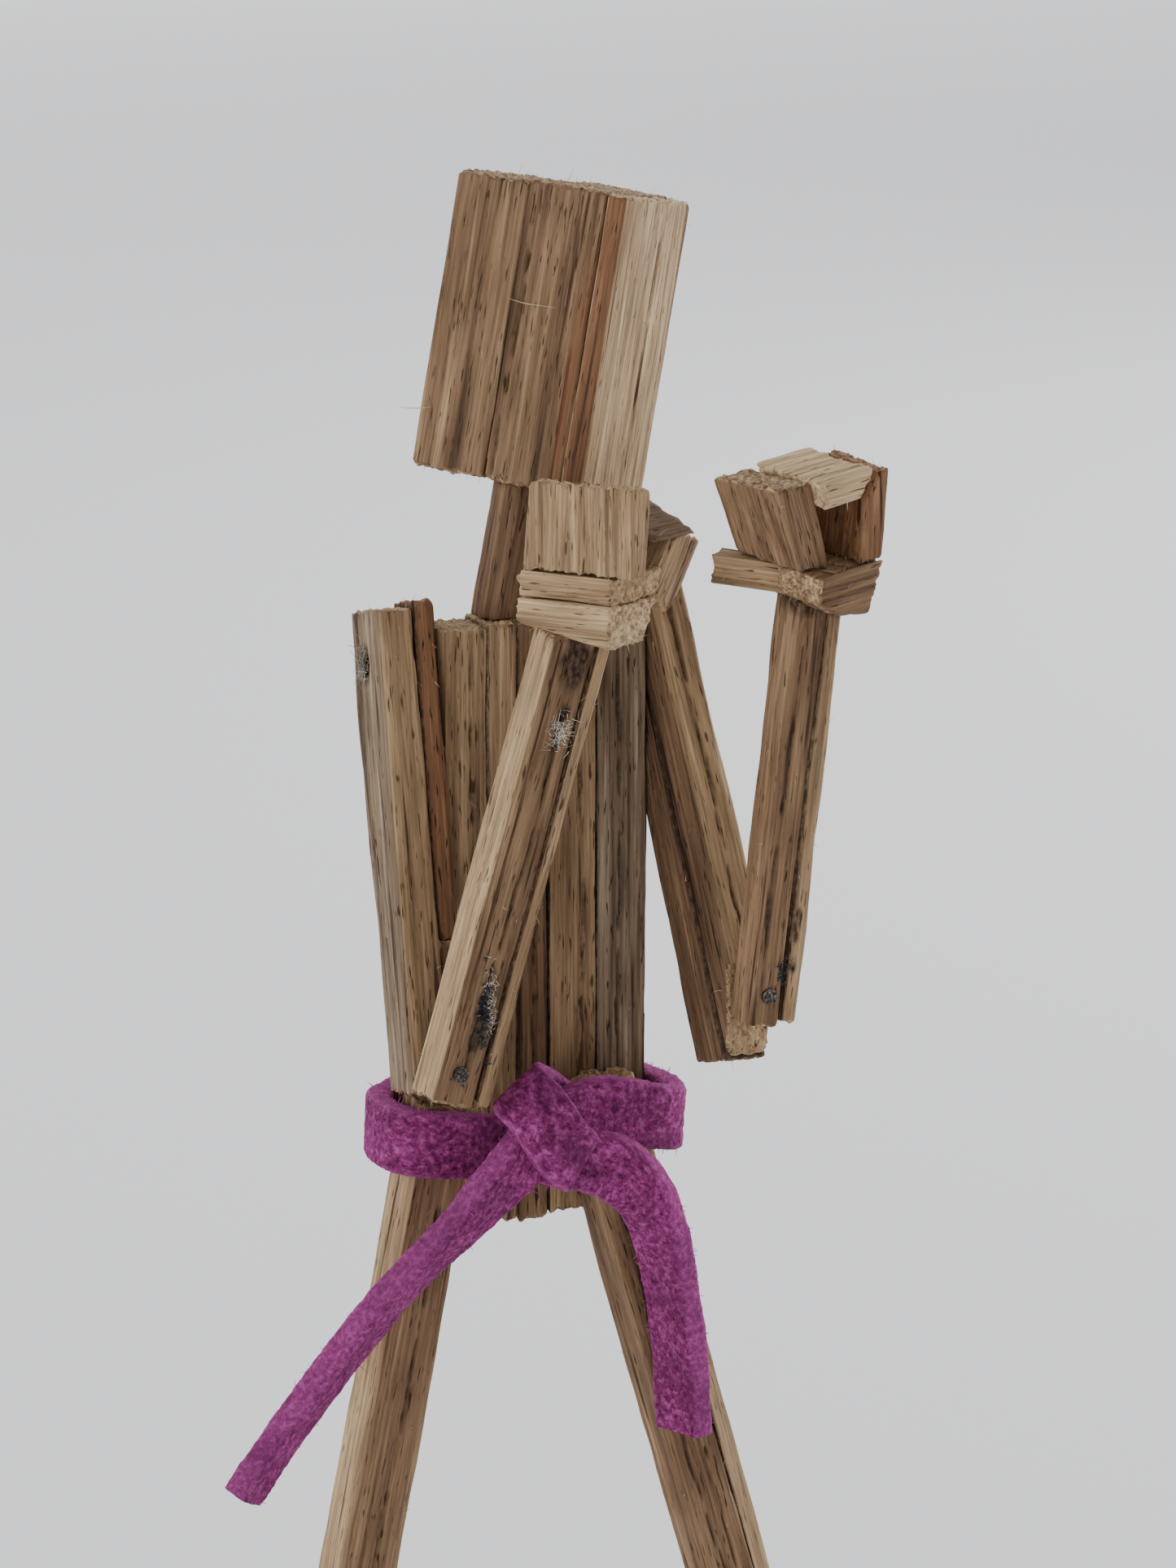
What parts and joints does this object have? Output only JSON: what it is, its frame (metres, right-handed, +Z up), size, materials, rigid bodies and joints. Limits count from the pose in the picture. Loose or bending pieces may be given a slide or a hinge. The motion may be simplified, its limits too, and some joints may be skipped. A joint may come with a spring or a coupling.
{
  "type": "craft stick puppet",
  "caption": "Jointed standing fighter figure of split, glued craft-stick strips with block fists and a suede lace knotted round its waist.",
  "frame": {"origin": "centre of the figure's outline on the floor it stands on, without the lace", "axes": "+Z up along the figure's height; the figure faces -Y; its own right side is at -X"},
  "size_m": [0.0321, 0.0228, 0.0925],
  "materials": {
    "wood_brown": "rough split, weathered",
    "wood_dark": "rough split, stained",
    "wood_pale": "rough split",
    "wood_bright": "fresh split, frayed",
    "wood_orange": "rough split, orange-brown",
    "wire": "dull wire",
    "suede": "fuzzy suede nap"
  },
  "bodies": {
    "torso": {"torso_slat_1": "wood_brown", "torso_slat_2": "wood_dark", "torso_slat_3": "wood_brown", "torso_slat_4": "wood_dark", "torso_slat_5": "wood_brown", "right_hip_block": "wood_brown", "neck": "wood_dark", "head_face_slat": "wood_pale", "head_middle_slat": "wood_brown", "head_back_slat": "wood_brown", "right_shoulder_pin": "wire", "left_shoulder_pin": "wire", "right_hip_pin": "wire", "left_hip_pin": "wire", "belt_loop": "suede", "belt_knot": "suede", "belt_tail_right": "suede", "belt_tail_left": "suede"},
    "right_upper_arm": {"right_upper_arm": "wood_pale", "right_upper_arm_strip": "wood_orange", "right_elbow_pin": "wire"},
    "right_forearm": {"right_forearm": "wood_dark", "right_forearm_splint": "wood_bright", "right_palm_lower": "wood_pale", "right_palm_upper": "wood_pale", "right_fingers": "wood_pale", "right_knuckles": "wood_dark", "right_fingertips": "wood_pale"},
    "left_upper_arm": {"left_upper_arm_front": "wood_pale", "left_upper_arm_rear": "wood_dark", "left_elbow_pin": "wire"},
    "left_forearm": {"left_forearm": "wood_pale", "left_forearm_strip": "wood_pale", "left_palm": "wood_brown", "left_thumb": "wood_pale", "left_fingers": "wood_pale", "left_knuckles": "wood_bright", "left_fingertips": "wood_pale"},
    "right_thigh": {"right_thigh": "wood_brown", "right_knee_pin": "wire"},
    "left_thigh": {"left_thigh": "wood_brown", "left_thigh_strip": "wood_pale", "left_knee_pin": "wire"},
    "right_shin": {"right_shin": "wood_brown", "right_foot": "wood_brown"},
    "left_shin": {"left_shin": "wood_brown", "left_foot": "wood_brown"}
  },
  "joints": [
    {"name": "right_shoulder", "type": "hinge", "parent": "torso", "child": "right_upper_arm", "pos_m": [-0.0065, 0.00462, 0.0707], "axis": [-1, 0, 0], "range_deg": [-1, 2]},
    {"name": "left_shoulder", "type": "hinge", "parent": "torso", "child": "left_upper_arm", "pos_m": [0.00595, 0.00462, 0.0705], "axis": [-1, 0, 0], "range_deg": [-12, 35]},
    {"name": "right_elbow", "type": "hinge", "parent": "right_upper_arm", "child": "right_forearm", "pos_m": [-0.0067, -0.00238, 0.0537], "axis": [0, 1, 0], "range_deg": [-100, 4]},
    {"name": "left_elbow", "type": "hinge", "parent": "left_upper_arm", "child": "left_forearm", "pos_m": [0.0059, -0.00748, 0.0572], "axis": [0, 1, 0], "range_deg": [-8, 90]},
    {"name": "right_hip", "type": "hinge", "parent": "torso", "child": "right_thigh", "pos_m": [-0.0061, 0.00137, 0.0493], "axis": [0, 1, 0], "range_deg": [-4, 4]},
    {"name": "left_hip", "type": "hinge", "parent": "torso", "child": "left_thigh", "pos_m": [0.0015, 0.00137, 0.0493], "axis": [0, 1, 0], "range_deg": [-4, 4]},
    {"name": "right_knee", "type": "hinge", "parent": "right_thigh", "child": "right_shin", "pos_m": [-0.01087, 0.00137, 0.02476], "axis": [0.9816, 0, -0.1908], "range_deg": [-90, 0]},
    {"name": "left_knee", "type": "hinge", "parent": "left_thigh", "child": "left_shin", "pos_m": [0.00839, 0.00137, 0.02527], "axis": [0.9613, 0, 0.2756], "range_deg": [-90, 0]}
  ]
}
